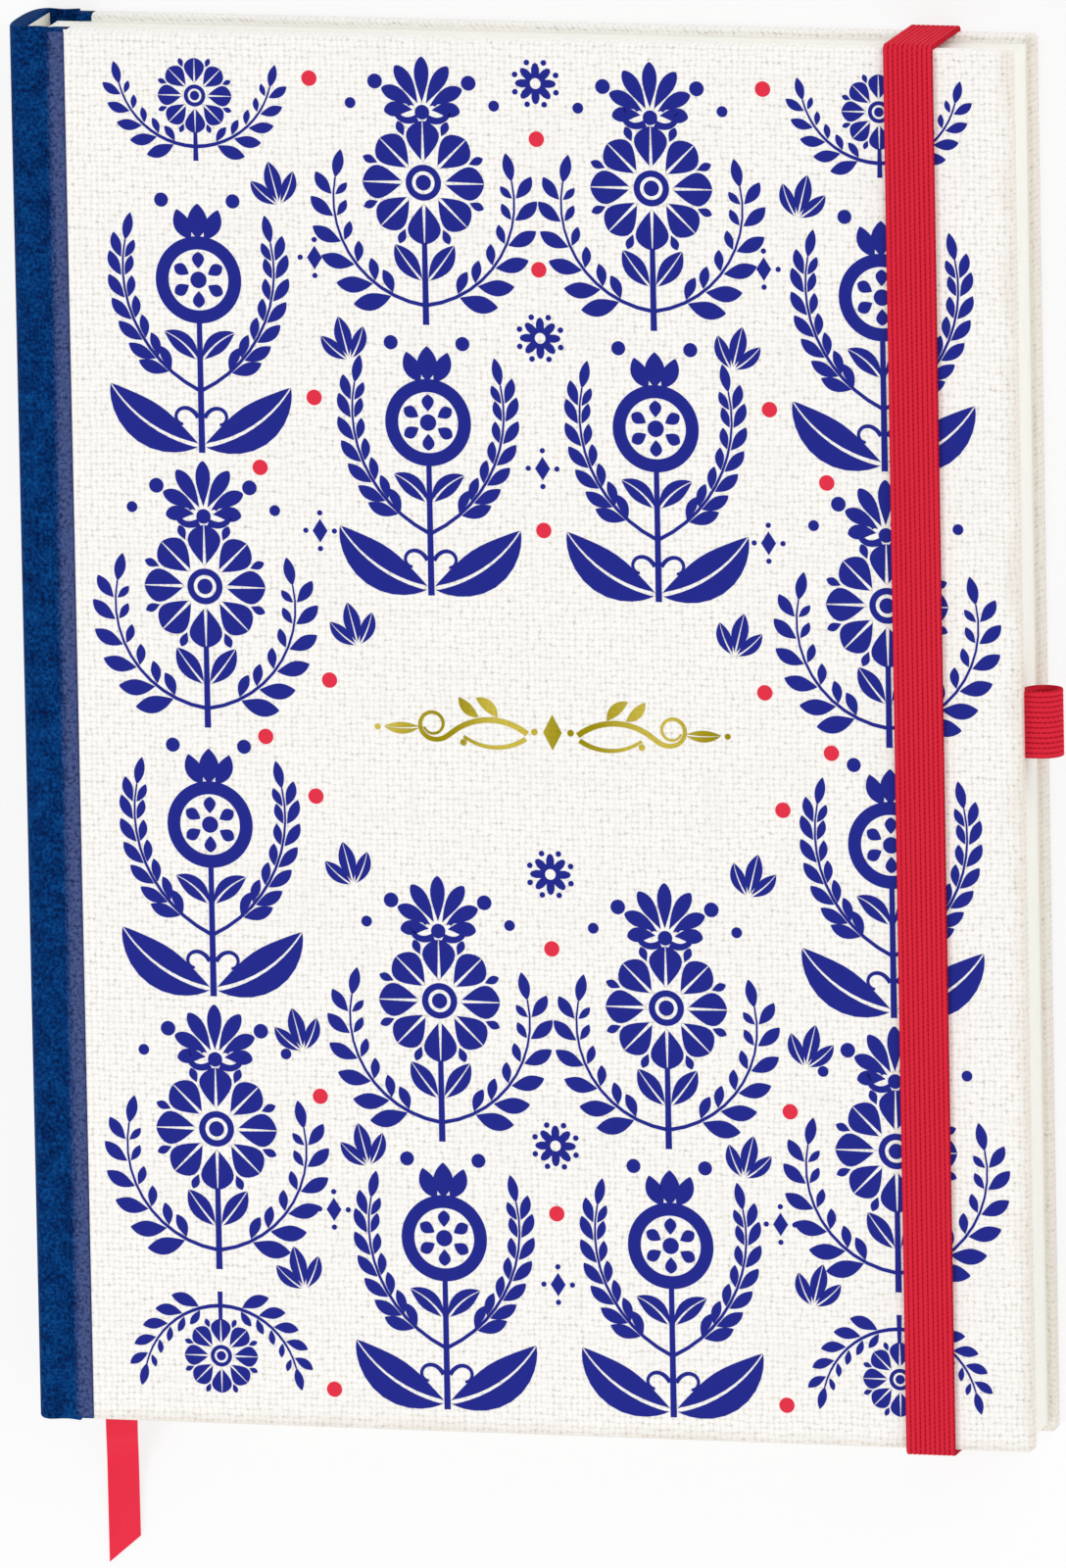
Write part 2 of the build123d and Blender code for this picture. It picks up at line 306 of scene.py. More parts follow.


# Spine cloth: dark blue, mottled, with a painted highlight along the edge of the board and a painted
# shadow line where the linen lies over it
cloth = {
    "stops": [(0.35, paint(3, 22, 64)), (0.49, paint(1, 47, 105)), (0.68, paint(10, 77, 142))],
    "flecks": 1.05,  # how much the fine flecks and the larger clouds change the tone
    "clouds": 0.42,
    "paintedHighlight": paint(79, 91, 137),
    "highlightStrength": 0.73,  # how strongly the painted highlight pales the cloth, and how unevenly
    "highlightGrain": 3.8,
    "highlightLead": 0.15 * mm,  # the painted highlight starts this far before the board's edge
    "highlightFade": (-1.0 * mm, 0.9 * mm),  # and fades in from here to here
    # painted shadow: a dark line on the cloth just before it goes under the linen
    "shadowLine": paint(52, 50, 96),
    "shadowLineWidth": 0.3 * mm,
    "faceStart": (0.2 * mm, 0.5 * mm),  # the painted highlight and shadow line keep this far from head and tail
    "apart": 0.5,  # UV shift of each half of the cloth, so that no mottle repeats
    "innerApart": 2.0,  # and of its inner face, where neither the painted highlight nor the painted shadow line shows
    "grain": 0.42 * mm,
    "relief": 0.06 * mm,
}


def clothFinish(highlightStart, shadowLineEnd):
    # reads the sheet's UV: length along the cross-section, then height along the book
    material, place = startFinish("spineCloth", "UV")
    mottle = place.noise(1700.0, 4.0, 0.7)
    cloud = place.noise(330.0, 3.0, 0.55)
    tone = 0.5 + (mottle - 0.5) * cloth["flecks"] + (cloud - 0.5) * cloth["clouds"]
    length, height, _ = place.axes()
    fromHead = headY - (height.fn("ABSOLUTE") - cloth["apart"]).fn("ABSOLUTE")
    onFace = fromHead.between(*cloth["faceStart"])
    stray = ((cloud - 0.5) * 0.9 + (mottle - 0.5) * 1.6) * mm
    fadeFrom, fadeTo = cloth["highlightFade"]
    # painted highlight: a paler strip on the cloth where it lies flat on the board
    highlight = (length + stray).between(highlightStart + fadeFrom, highlightStart + fadeTo)
    highlight = highlight * (cloth["highlightStrength"] + (mottle - 0.5) * cloth["highlightGrain"])
    highlightColour = (highlight * onFace).mix(tone.ramp(cloth["stops"]), cloth["paintedHighlight"])
    # painted shadow: a dark line where the cloth goes under the linen
    shadowLine = length.between(shadowLineEnd - cloth["shadowLineWidth"], shadowLineEnd) * onFace * 0.7
    threads = (length / cloth["grain"]).wave() * (height / cloth["grain"]).wave()
    relief = mottle * 0.8 + threads * 0.16
    return setShader(
        material,
        Base_Color=shadowLine.mix(highlightColour, cloth["shadowLine"]),
        Roughness=0.9 - mottle * 0.15,
        Normal=relief.bump(cloth["relief"], 0.8),
        Specular_IOR_Level=0.04,
    )


# Paper: cream pages with the fine lines of their edges, ruled faces and plain endpapers
paper = {
    "page": paint(252, 252, 246),
    "edge": paint(247, 247, 239),
    "endpaper": paint(247, 245, 236),
    "endpaperDeep": paint(236, 232, 219),
    "rule": paint(176, 186, 204),
    "sheet": 0.13 * mm,  # one page
    "ruleGap": 7.0 * mm,
    "ruleWidth": 0.22 * mm,
    "groupCount": 6,  # lines to one address
    "margin": 9.0 * mm,
    "edgeRelief": 0.03 * mm,
    "leafRelief": 0.01 * mm,
    "endpaperRelief": 0.012 * mm,
}


def ruleLines(along, gap, solid, faded):
    # 1 within solid rule widths of each multiple of gap, 0 from faded of them on
    phase = along / gap
    off = (phase - phase.fn("ROUND")).fn("ABSOLUTE") * gap
    return 1 - off.between(paper["ruleWidth"] * solid, paper["ruleWidth"] * faded)


def ruledColour(place, plain):
    # a thin line at each ruleGap along the page, a heavier one after each group, none in the margins
    across, along, _ = place.axes()
    line = ruleLines(along, paper["ruleGap"], 0.35, 0.65)
    group = ruleLines(along, paper["ruleGap"] * paper["groupCount"], 0.8, 1.3)
    middle = (sectionLow.x + sectionHigh.x) / 2
    halfPage = (sectionHigh.x - sectionLow.x) / 2 - paper["margin"]
    insideX = (across - middle).fn("ABSOLUTE").fn("LESS_THAN", halfPage)
    insideY = along.fn("ABSOLUTE").fn("LESS_THAN", sectionHigh.y - paper["margin"])
    ruled = line.fn("MAXIMUM", group) * insideX * insideY
    return (ruled * 0.8).mix(plain, paper["rule"])


def blockFinish():
    # the body of the pages: sheet lines round the edges, rules on the top page
    material, place = startFinish("pageBlock", "Object")
    height = place.axes()[2]
    stray = (place.noise(120.0, 3.0) - 0.5) * 0.8
    lines = (height / paper["sheet"] + stray).wave().fn("ABSOLUTE")
    fibre = place.noise(2600.0, 2.0)
    tone = lines.between(0.0, 0.55) * 0.75 + fibre * 0.25
    edge = tone.mix(paper["edge"], paper["page"])
    facing = place.node("NewGeometry", {}, {}, "Normal")
    upward = facing.axes()[2].fn("GREATER_THAN", 0.8)
    relief = lines + fibre * 0.3
    return setShader(
        material,
        Base_Color=upward.mix(edge, ruledColour(place, paper["page"])),
        Roughness=0.85,
        Normal=relief.bump(paper["edgeRelief"], 0.5),
        Specular_IOR_Level=0.15,
    )


def leafFinish():
    material, place = startFinish("ruledLeaf", "UV")
    fibre = place.noise(1800.0, 4.0)
    plain = (fibre * 0.35).mix(paper["page"], paper["edge"])
    return setShader(
        material,
        Base_Color=ruledColour(place, plain),
        Roughness=0.88 - fibre * 0.08,
        Normal=fibre.bump(paper["leafRelief"], 0.4),
        Specular_IOR_Level=0.15,
    )


def endpaperFinish(name, source):
    material, place = startFinish(name, source)
    fibre = place.noise(1500.0, 5.0, 0.6)
    tone = fibre * 0.4 + place.noise(60.0, 3.0) * 0.2
    return setShader(
        material,
        Base_Color=tone.mix(paper["endpaper"], paper["endpaperDeep"]),
        Roughness=0.86 - fibre * 0.1,
        Normal=fibre.bump(paper["endpaperRelief"], 0.5),
        Specular_IOR_Level=0.15,
    )


# Elastic: even red knitted ribs, with painted shade in the grooves broken into darker stitch dashes
elastic = {
    "rib": paint(223, 44, 65),
    "side": paint(198, 25, 46),
    # painted shade: the darkest colour, in the grooves between the ribs
    "groove": paint(150, 0, 16),
    "stitch": 0.74 * mm,
    "relief": 0.06 * mm,
}


def elasticFinish():
    # UV: u counts the ribs across the strip, v is the length along it in metres
    material, place = startFinish("elasticRed", "UV")
    across, along, _ = place.axes()
    stray = (place.stretched((3.0, 260.0, 1.0)) - 0.5) * 0.2
    rib = (across + stray).wave().fn("ABSOLUTE")
    stitches = along / elastic["stitch"]
    dash = (stitches + across.fn("ROUND") * 0.37).wave(2).between(-0.75, 0.1)
    slant = (stitches * 2 + across.wave(2) * 0.3).wave(2)
    fuzz = place.stretched((5.0, 2600.0, 1.0))
    # painted shade in the grooves, broken into the dashes of the knit
    shadow = (1 - rib.between(0.1, 0.8)) * (0.4 + dash * 0.4) + (fuzz - 0.5) * 0.3
    body = shadow.mix(elastic["rib"], elastic["groove"])
    relief = rib * 0.4 + slant * 0.12 + fuzz * 0.3 - shadow * 0.5
    return setShader(
        material,
        Base_Color=(slant.between(0.1, 0.9) * 0.34).mix(body, elastic["side"]),
        Roughness=0.75 + shadow * 0.15,
        Normal=relief.bump(elastic["relief"], 0.8),
        Specular_IOR_Level=0.03,
    )


# Ribbon: red satin with fine threads along it
satin = {
    "bright": paint(246, 47, 75),
    "deep": paint(228, 38, 62),
    "thread": 0.16 * mm,
    "relief": 0.012 * mm,
}


def satinFinish():
    material, place = startFinish("satinRibbon", "UV")
    threads = (place.axes()[0] / satin["thread"]).wave().fn("ABSOLUTE")
    streak = place.stretched((20000.0, 600.0, 1.0))
    tone = streak.between(0.25, 0.8) * 0.55 + (1 - threads) * 0.2
    return setShader(
        material,
        Base_Color=tone.mix(satin["bright"], satin["deep"]),
        Roughness=0.5 + streak * 0.16,
        Normal=(threads * 0.6 + streak * 0.4).bump(satin["relief"], 0.6),
        Specular_IOR_Level=0.12,
    )


# Ink and foil on the linen: the ink lies flat and lets a little of the weave through
# painted reflection: the foil's colour sweeps from deep to bright gold across the cover
foil = {"deep": paint(124, 112, 6), "bright": paint(165, 150, 58), "sweep": 22 * mm}


def inkFinish(name, colour, pale):
    material, place = startFinish(name, "Object")
    height = weaveHeight(place)
    wear = place.noise(700.0, 4.0)
    thin = (1 - height.between(0.0, 0.25)) * 0.12 + (wear - 0.5).fn("MAXIMUM", 0.0) * 0.16
    return setShader(
        material,
        Base_Color=thin.mix(colour, pale),
        Roughness=0.7 - height * 0.1,
        Normal=height.bump(linen["relief"], 0.2),
        Specular_IOR_Level=0.06,
    )


def foilFinish():
    material, place = startFinish("goldFoil", "Object")
    # painted reflection, in broad sweeps across x
    sweep = (place.axes()[0] / foil["sweep"] + place.noise(60.0) * 0.6).wave(2) * 0.5 + 0.5
    return setShader(
        material,
        Base_Color=sweep.mix(foil["deep"], foil["bright"]),
        Metallic=1.0,
        Roughness=0.36 + place.noise(1500.0) * 0.14,
        Normal=weaveHeight(place).bump(linen["relief"], 0.15),
    )


# What lies inside the book: boards, sewing thread and the gauze on the folds, each dark and pale
inside = {
    "greyBoard": (paint(122, 116, 106), paint(158, 152, 141)),
    "spineCard": (paint(232, 230, 218), paint(246, 245, 236)),
    "boardRelief": 0.03 * mm,
    "thread": (paint(214, 206, 190), paint(243, 238, 226)),
    "twist": 0.5 * mm,
    "threadRelief": 0.05 * mm,
    "gauze": (paint(206, 196, 172), paint(238, 231, 214)),
    "mesh": 1.1 * mm,
    "gauzeRelief": 0.08 * mm,
}


def boardFinish(name):
    material, place = startFinish(name, "Object")
    speck = place.noise(2200.0, 5.0, 0.7)
    colour = speck.between(0.3, 0.75).mix(*inside[name])
    relief = speck.bump(inside["boardRelief"], 0.6)
    return setShader(material, Base_Color=colour, Roughness=0.92, Normal=relief)


def threadFinish():
    material, place = startFinish("sewingThread", "Object")
    twist = (place.axes()[1] / inside["twist"] + place.noise(400.0)).wave(2) * 0.5 + 0.5
    relief = twist.bump(inside["threadRelief"], 0.6)
    return setShader(material, Base_Color=twist.mix(*inside["thread"]), Roughness=0.7, Normal=relief)


def gauzeFinish():
    material, place = startFinish("gauze", "Object")
    _, along, height = place.axes()
    strands = [(axis / inside["mesh"]).wave().fn("ABSOLUTE") for axis in (along, height)]
    thread = 1 - strands[0].fn("MINIMUM", strands[1]).between(0.25, 0.5)
    relief = thread.bump(inside["gauzeRelief"], 0.7)
    return setShader(material, Base_Color=thread.mix(*inside["gauze"]), Roughness=0.9, Normal=relief)


def dress(nodeName, finish):
    # a CAD node that shows as it is takes its finish
    shown = cadNodes[nodeName].data.materials
    shown.clear()
    shown.append(finish)


endpaperSolid = endpaperFinish("endpaper", "Object")
greyBoard = boardFinish("greyBoard")
for nodeName, nodeFinish in {
    "front_board": greyBoard,
    "back_board": greyBoard,
    "spine_board": boardFinish("spineCard"),
    "sewing_thread": threadFinish(),
    "spine_lining": gauzeFinish(),
    "back_pastedown": endpaperSolid,
    "front_pastedown": endpaperSolid,
    "back_flyleaf": endpaperSolid,
}.items():
    dress(nodeName, nodeFinish)
print("finishes made,", len(bpy.data.materials), "materials")


# Meshes: a grid of points becomes quads, and points that meet are merged, which closes seams and poles
meshing = {
    "meeting": 0.0008 * mm,  # points closer than this are one
    "sharpest": 38.0,  # edges that bend more than this, in degrees, stay sharp
}


def gridQuads(rows, columns):
    index = np.arange(rows * columns).reshape(rows, columns)
    corners = [index[:-1, :-1], index[1:, :-1], index[1:, 1:], index[:-1, 1:]]
    return np.stack(corners, axis=-1).reshape(-1, 4)


def addPiece(name, grids, finish, sharpest=meshing["sharpest"]):
    # grids is a list of (points, uv) with points of shape (rows, columns, 3) and uv (rows, columns, 2)
    points, faces, uvs, count = [], [], [], 0
    for grid, uv in grids:
        faces.append(gridQuads(*grid.shape[:2]) + count)
        points.append(grid.reshape(-1, 3))
        uvs.append(uv.reshape(-1, 2))
        count += len(points[-1])
    points, faces, uvs = np.concatenate(points), np.concatenate(faces), np.concatenate(uvs)
    mesh = bpy.data.meshes.new(name)
    mesh.from_pydata(points.tolist(), [], faces.tolist())
    corners = np.zeros(len(mesh.loops), dtype=np.int32)
    mesh.loops.foreach_get("vertex_index", corners)
    layer = mesh.uv_layers.new(name="UVMap")
    layer.data.foreach_set("uv", uvs[corners].astype(np.float32).ravel())
    work = bmesh.new()
    work.from_mesh(mesh)
    bmesh.ops.remove_doubles(work, verts=work.verts, dist=meshing["meeting"])
    loose = [edge for edge in work.edges if not edge.link_faces]
    bmesh.ops.delete(work, geom=loose, context="EDGES")
    bmesh.ops.recalc_face_normals(work, faces=work.faces)
    work.to_mesh(mesh)
    work.free()
    mesh.polygons.foreach_set("use_smooth", np.ones(len(mesh.polygons), dtype=bool))
    mesh.set_sharp_from_angle(angle=math.radians(sharpest))
    mesh.materials.append(finish)
    piece = bpy.data.objects.new(name, mesh)
    bpy.context.scene.collection.objects.link(piece)
    return piece


def spread(*parts):
    # points from the arrays or numbers of their two or three parts
    return np.stack(np.broadcast_arrays(*parts), axis=-1)


def aside(distance, angle):
    # the point that far out at that angle in degrees, or one point for each of an array of angles
    turned = np.radians(angle)
    return distance * spread(np.cos(turned), np.sin(turned))


def raised(flat, heights):
    # rows of flat points, each row at its height
    return spread(flat[..., 0], flat[..., 1], heights[:, None])


def padded(rows):
    # the first row and the last one twice
    return np.concatenate([rows[:1], rows, rows[-1:]])


def capped(points, corners=None):
    # one more row at each end, all in the middle of that end's corners, closes a tube
    middles = points[[0, -1], :corners].mean(axis=1, keepdims=True)
    ends = middles + np.zeros((2, *points.shape[1:]))
    return np.concatenate([ends[:1], points, ends[1:]])


def roundedOutline(low, high, radii, inset, arcSteps):
    # a rectangle drawn in by each inset: a corner's centre lies max(radius, inset) from both its sides,
    # and what is left of the radius is its arc
    signs = np.array([[1, 1], [-1, 1], [-1, -1], [1, -1]])
    corners = np.where(signs > 0, high, low)
    angles = np.array([0, 90, 180, 270])[:, None] + np.linspace(0, 90, arcSteps)
    radius = np.array(radii, float)[None, :]
    inset = np.asarray(inset, float)[:, None]
    reach = np.maximum(radius, inset)[..., None, None]
    bow = np.maximum(radius - inset, 0)[..., None, None]
    centres = corners[None, :, None, :] - signs[None, :, None, :] * reach
    points = centres + bow * aside(1.0, angles)
    points = points.reshape(len(inset), -1, 2)
    return np.concatenate([points, points[:, :1]], axis=1)


def carryRing(path, across, outward, ring, ringU, pathV):
    # point (i, k) = path[i] + ring[k, 0] across + ring[k, 1] outward[i]
    sideways = ring[None, :, :1] * np.asarray(across)
    points = path[:, None, :] + sideways + ring[None, :, 1:] * outward[:, None, :]
    return capped(points), padded(spread(ringU[None, :], pathV[:, None]))


def runLength(path):
    # length along a line of points, from its start
    return np.concatenate([[0.0], np.cumsum(np.linalg.norm(np.diff(path, axis=0), axis=1))])


# Ribbon marker: a limp satin cord of the route's control points, its spine side cut longer
ribbon = {
    "width": 5.0 * mm,
    "thickness": 0.2 * mm,
    "length": 30.4 * mm,  # of its longer side, from the pages
    "cut": 4.3 * mm,
    "curl": 0.12 * mm,  # how far its edges rise half way along
    "x": -67.0 * mm,
    "lean": 0.26,  # how far it drifts towards the spine as it falls
    "route": [  # Y and Z in mm
        (-106.3, 8.85),
        (-111.3, 8.5),
        (-114.6, 4.6),
        (-118.3, 0.9),
        (-126.1, 0.25),
        (-133.8, 0.2),
    ],
    "lineSteps": 24,
    "rows": 48,
    "columns": 9,
}


def ribbonLine():
    # the points of the route's NURBS curve, read from a curve with no bevel
    curve = bpy.data.curves.new("ribbonLine", "CURVE")
    curve.dimensions = "3D"
    spline = curve.splines.new("NURBS")
    spline.points.add(len(ribbon["route"]) - 1)
    startZ = ribbon["route"][0][1]
    for point, (y, z) in zip(spline.points, ribbon["route"]):
        x = ribbon["x"] - ribbon["lean"] * (startZ - z) * mm
        point.co = (x, y * mm, z * mm, 1.0)
    spline.order_u = 3
    spline.use_endpoint_u = True
    spline.resolution_u = ribbon["lineSteps"]
    holder = bpy.data.objects.new("ribbonLine", curve)
    bpy.context.scene.collection.objects.link(holder)
    line = bpy.data.meshes.new_from_object(holder)
    points = np.zeros(len(line.vertices) * 3)
    line.vertices.foreach_get("co", points)
    bpy.data.objects.remove(holder)
    bpy.data.curves.remove(curve)
    bpy.data.meshes.remove(line)
    return points.reshape(-1, 3)


def makeRibbon(finish):
    # row t of column a lies t (length - cut (a + 1) / 2) along the line, so that the end is slanted
    line = ribbonLine()
    reach = runLength(line)
    columns = ribbon["columns"]
    share = np.linspace(0, 1, ribbon["rows"])[:, None]
    side = np.linspace(-1, 1, columns)
    side = np.concatenate([side, side[::-1], side[:1]])  # over the top, back underneath, and closed
    lift = np.repeat([0.5, -0.5, 0.5], [columns, columns, 1]) * ribbon["thickness"]
    lengths = share * (reach[-1] - ribbon["cut"] * (side + 1) / 2)
    x, y, z = [np.interp(lengths, reach, line[:, axis]) for axis in range(3)]
    slopes = np.gradient(line, reach, axis=0)
    slopeY, slopeZ = [np.interp(lengths, reach, slopes[:, axis]) for axis in (1, 2)]
    height = (lift + ribbon["curl"] * side ** 2 * 4 * share * (1 - share)) / np.hypot(slopeY, slopeZ)
    points = spread(x + side * ribbon["width"] / 2, y + height * slopeZ, z - height * slopeY)
    ends = points[[0, -1]]
    upper = ends[:, np.r_[np.arange(columns), np.arange(columns)[::-1], 0]]
    closing = (ends + upper[:, ::-1]) / 2
    points = np.concatenate([closing[:1], points, closing[1:]])
    uv = spread(points[..., 0], padded(lengths))
    piece = addPiece("ribbonMarker", [(points, uv)], finish)
    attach(piece, "ribbon_tail")
    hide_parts("ribbon_tail")


satinRibbon = satinFinish()
makeRibbon(satinRibbon)
dress("ribbon_inner", satinRibbon)
print("ribbon made")


# Linen covers: a slab with softly rounded edges, unrolled over them so that the weave runs on
cover = {
    "edgeRadius": 0.4 * mm,
    "cornerRadius": 0.8 * mm,
    "rim": 1.6 * mm,  # the ring of faces next to the rounded edge
    "paperStep": 0.1 * mm,
    "arcSteps": 7,
}


def makeCover(name, low, high, topUp, body, node):
    # profile from the middle of the outer face, over the edge and back to the middle of the inner face
    radius, rim = cover["edgeRadius"], cover["rim"]
    depth = high.z - low.z
    half = (high.x - low.x) / 2
    bend = np.linspace(0, np.pi / 2, cover["arcSteps"])
    sine, sag = radius * np.sin(bend), radius * (1 - np.cos(bend))
    inset = np.concatenate([[half, rim], radius - sine, sag, [rim, half]])
    fall = np.concatenate([[0, 0], sag, depth - radius + sine, [depth, depth]])
    unrolled = half - runLength(spread(inset, fall))
    radii = [cover["cornerRadius"], 0, 0, cover["cornerRadius"]]
    corners = ((low.x, low.y), (high.x, high.y), radii)
    flat = roundedOutline(*corners, inset, cover["arcSteps"])
    uv = roundedOutline(*corners, unrolled, cover["arcSteps"])
    heights = high.z - fall if topUp else low.z + fall
    piece = addPiece(name, [(raised(flat, heights), uv)], linenPaper)
    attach(piece, body)
    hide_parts(node)


linenPaper = linenFinish()
makeCover("frontCover", frontLow, frontHigh, True, "front_cover", "front_cover_paper")
makeCover("backCover", backLow, backHigh, False, "back_cover", "back_cover_paper")
print("linen covers made")


# Spine cloth in two halves that meet in the middle of the spine: each goes round the spine board,
# down into the groove and onto the board of its cover
spine = {
    "squareness": 2.8,  # exponent of the rounded back
    "innerX": -75.75 * mm,
    "turnEnd": -75.2 * mm,  # the hinge runs from innerX to here
    "valley": 0.72 * mm,
    "landing": 0.1 * mm,  # the groove ends this far onto the board
    "thickness": 0.4 * mm,
    "overlap": 0.5 * mm,  # cloth under the linen paper
    "endRadius": 0.4 * mm,
    "proud": 0.3 * mm,  # how far the cloth stands past the boards at head and tail
    "step": 0.05 * mm,  # from the last point of the groove to the board
    "backSteps": 28,
    "turnSteps": 10,
    "grooveSteps": 22,
    "boardSteps": 6,
    "endSteps": 6,
}
lining = {
    "thickness": 0.12 * mm,
    "turnIn": 13.0 * mm,  # cloth that shows inside the back joint at head and tail
    "tuck": 0.6 * mm,  # under the pastedown
    "fold": 0.4 * mm,  # slanted round the board's edge
    "short": 0.3 * mm,  # of the hinge line
    "steps": 26,
}


def grooveHeight(x):
    # height above the middle of the book: from the hinge line to the board, less valley sin(pi t) ** 1.5
    edge = boardLow.x + spine["landing"]
    share = np.clip((x - spine["innerX"]) / (edge - spine["innerX"]), 0, 1)
    hinge = spineHigh.z - midHeight
    top = frontHigh.z - cover["paperStep"] - midHeight
    return hinge + (top - hinge) * share - spine["valley"] * np.sin(np.pi * share) ** 1.5


def spineLines():
    # outer and inner line of one half, as X and height above the middle
    innerX, turnEnd = spine["innerX"], spine["turnEnd"]
    power = 2 / spine["squareness"]
    turn = np.linspace(0, np.pi / 2, spine["backSteps"])
    rise = spineHigh.z - midHeight
    backX = innerX - (innerX - spineLow.x) * np.cos(turn) ** power
    backH = rise * np.sin(turn) ** power
    jointX = np.concatenate([
        np.linspace(innerX, turnEnd, spine["turnSteps"])[1:],
        np.linspace(turnEnd, boardLow.x - spine["step"], spine["grooveSteps"])[1:],
    ])
    jointH = grooveHeight(jointX)
    boardX = np.linspace(boardLow.x, frontLow.x + spine["overlap"], spine["boardSteps"])
    outer = np.concatenate([
        spread(backX, backH),
        spread(jointX, jointH),
        spread(boardX, grooveHeight(boardX)),
    ])
    inner = np.concatenate([
        spread(innerX, backH * (1 - spine["thickness"] / rise)),
        spread(jointX, jointH - spine["thickness"]),
        spread(boardX, frontLow.z - midHeight),
    ])
    return outer, inner


def turnWithCover(piece, side, blendTo):
    # works out the two lines of the hinge, then bakes the piece's placement into its mesh
    hingeZ = midHeight + side * (spineHigh.z - midHeight)
    turning = [(spine["innerX"], 0, hingeZ), (spine["turnEnd"], 0, hingeZ)]
    if blendTo == "spine":
        turning.reverse()
    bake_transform(piece)


def makeSpineHalf(name, side, blendTo, nodeNames, finish):
    # a ring of height and depth carried along the outer line; depth goes from there to the inner line
    outer, inner = spineLines()
    thickness = np.linalg.norm(inner - outer, axis=1)
    inward = (inner - outer) / thickness[:, None]
    radius = np.minimum(spine["endRadius"], 0.45 * thickness)[:, None]
    steps = spine["endSteps"]
    bend = np.linspace(0, np.pi / 2, steps)
    ends = np.repeat([-1.0, 1.0, 1.0, -1.0, -1.0], [steps, steps, 1, 1, 1])
    angles = np.concatenate([bend[::-1], bend, np.full(3, np.pi / 2)])
    isInner = np.repeat([0, 1, 0], [2 * steps, 2, 1])
    standing = outer[:, 0] < boardLow.x  # the cloth round the spine and the groove stands a little proud
    reach = headY + np.where(standing, spine["proud"], 0.0)[:, None]
    y = ends * (reach - radius * (1 - np.sin(angles)))
    depth = np.where(isInner, thickness[:, None], radius * (1 - np.cos(angles)))
    flat = outer[:, None, :] + inward[:, None, :] * depth[..., None]
    points = capped(spread(flat[..., 0], y, midHeight + side * flat[..., 1]))
    length = padded(runLength(outer))[:, None]
    height = points[..., 1] + side * (cloth["apart"] + cloth["innerApart"] * isInner)
    piece = addPiece(name, [(points, spread(length, height))], finish)
    turnWithCover(piece, side, blendTo)
    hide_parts(*nodeNames)


def makeJointLining(name, side, half, blendTo, finish):
    # endpaper over the inside of the groove, from the pastedown round the board's edge to the hinge line
    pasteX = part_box("front_pastedown")[0].x
    thickness, fold = lining["thickness"], lining["fold"]
    under = frontLow.z - midHeight - thickness
    grooveX = np.linspace(boardLow.x - thickness, spine["innerX"] + lining["short"], lining["steps"])
    grooveH = grooveHeight(grooveX) - spine["thickness"] - thickness
    edge = [(boardLow.x + fold, under), (boardLow.x - thickness, under + fold)]
    line = np.concatenate([[(pasteX + lining["tuck"], under)], edge, spread(grooveX, grooveH)])
    length = runLength(line)
    slope = np.gradient(line, length, axis=0)
    slope = slope / np.linalg.norm(slope, axis=1, keepdims=True)
    path = spread(line[:, 0], 0.0, midHeight + side * line[:, 1])
    outward = spread(-slope[:, 1], 0.0, side * slope[:, 0])
    signs = np.array([(-1, -1), (1, -1), (1, 1), (-1, 1), (-1, -1)])
    ring = signs * (half, thickness / 2)
    grid = carryRing(path, (0, 1, 0), outward, ring, ring[:, 0], length)
    piece = addPiece(name, [grid], finish)
    turnWithCover(piece, side, blendTo)


outerLine = spineLines()[0]
spineRun = runLength(outerLine)
backSteps = spine["backSteps"]
edgeIndex = backSteps + int(np.searchsorted(outerLine[backSteps:, 0], boardLow.x))
# where the painted highlight starts and the painted shadow line ends, along the cloth
highlightStart = float(spineRun[edgeIndex]) - cloth["highlightLead"]
shadowLineEnd = float(spineRun[-1]) - spine["overlap"]
spineCloth = clothFinish(highlightStart, shadowLineEnd)
endpaperSheet = endpaperFinish("endpaperSheet", "UV")
frontNodes = ["spine_cloth", "front_joint_cloth"]
backNodes = ["spine_cloth", "back_joint_cloth"]
shownHalf = sectionHigh.y - lining["turnIn"]
makeSpineHalf("spineClothFront", 1, "front_cover", frontNodes, spineCloth)
makeSpineHalf("spineClothBack", -1, "spine", backNodes, spineCloth)
makeJointLining("frontJointLining", 1, sectionHigh.y, "front_cover", endpaperSheet)
makeJointLining("backJointLining", -1, shownHalf, "spine", endpaperSheet)
print("spine cloth made")


# Page block: the seven sections as one pile of sheets, uneven by a hair, with round folds at the spine
block = {
    "sections": 7,
    "sheetsPerSection": 9,
    "uneven": 0.05 * mm,
    "notch": 0.05 * mm,
    "levels": (0.0, 0.2, 0.8),  # the notch below a sheet and its two edges, in sheets
    "rim": 0.3 * mm,  # the ring of faces round the first page and the last
    "foldRadius": 0.57 * mm,
    "foldShare": 0.9,
    "spineSide": 1.0 * mm,  # what lies this near the spine is drawn in by the folds
}


